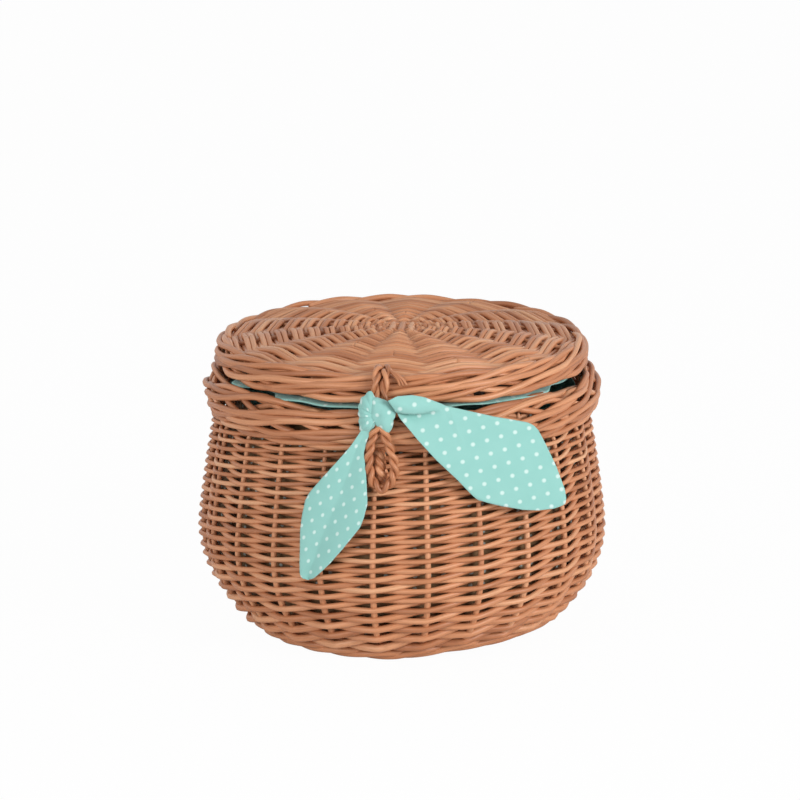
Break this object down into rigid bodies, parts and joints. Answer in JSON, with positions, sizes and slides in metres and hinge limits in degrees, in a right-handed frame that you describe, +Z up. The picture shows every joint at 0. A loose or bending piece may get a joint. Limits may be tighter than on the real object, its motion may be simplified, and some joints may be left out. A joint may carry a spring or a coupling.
{
  "type": "lidded storage basket",
  "caption": "Round pot-bellied woven basket with a rolled border, a hinged domed lid, a cloth lining and a cloth ribbon tied round the loop on the lid's front.",
  "frame": {"origin": "middle of the ring that the basket stands on, at floor level", "axes": "+Z up, the front with the loop and ribbon towards -Y, +X to the right seen from the front"},
  "size_m": [0.3184, 0.3268, 0.2403],
  "materials": {
    "willow": "satin, boiled willow",
    "willow_pale": "satin, boiled willow",
    "willow_dark": "satin, boiled willow",
    "dotted_cotton": "matt printed cotton, small white dots on mint"
  },
  "bodies": {
    "basket": {"base_stick_1": "willow_dark", "base_stick_2": "willow_dark", "base_stick_3": "willow_dark", "base_stick_4": "willow_dark", "base_stick_5": "willow_dark", "base_stick_6": "willow_dark", "base_weave": "willow", "side_stake_01": "willow_dark", "side_stake_02": "willow_dark", "side_stake_03": "willow_dark", "side_stake_04": "willow_dark", "side_stake_05": "willow_dark", "side_stake_06": "willow_dark", "side_stake_07": "willow_dark", "side_stake_08": "willow_dark", "side_stake_09": "willow_dark", "side_stake_10": "willow_dark", "side_stake_11": "willow_dark", "side_stake_12": "willow_dark", "side_stake_13": "willow_dark", "side_stake_14": "willow_dark", "side_stake_15": "willow_dark", "side_stake_16": "willow_dark", "side_stake_17": "willow_dark", "side_stake_18": "willow_dark", "side_stake_19": "willow_dark", "side_stake_20": "willow_dark", "side_stake_21": "willow_dark", "side_stake_22": "willow_dark", "side_stake_23": "willow_dark", "side_stake_24": "willow_dark", "upsett_wale": "willow", "side_weave": "willow_pale", "top_wale": "willow", "rim_border": "willow_pale", "lining_bag": "dotted_cotton", "front_ring": "willow_dark", "hinge_ring_left": "willow_dark", "hinge_ring_right": "willow_dark"},
    "lid": {"lid_stick_1": "willow_dark", "lid_stick_2": "willow_dark", "lid_stick_3": "willow_dark", "lid_stick_4": "willow_dark", "lid_stick_5": "willow_dark", "lid_stick_6": "willow_dark", "lid_stick_7": "willow_dark", "lid_weave": "willow_pale", "lid_border": "willow", "lid_lining": "dotted_cotton"},
    "closure": {"lid_loop": "willow_dark", "ribbon_knot": "dotted_cotton", "ribbon_tail_left": "dotted_cotton", "ribbon_tail_right": "dotted_cotton"}
  },
  "joints": [
    {"name": "lid_hinge", "type": "hinge", "parent": "basket", "child": "lid", "pos_m": [0, 0.1465, 0.2116], "axis": [-1, 0, 0], "range_deg": [0, 105]},
    {"name": "loop_swing", "type": "hinge", "parent": "lid", "child": "closure", "pos_m": [-0.0062, -0.1317, 0.2129], "axis": [-1, 0, 0], "range_deg": [0, 35]}
  ]
}
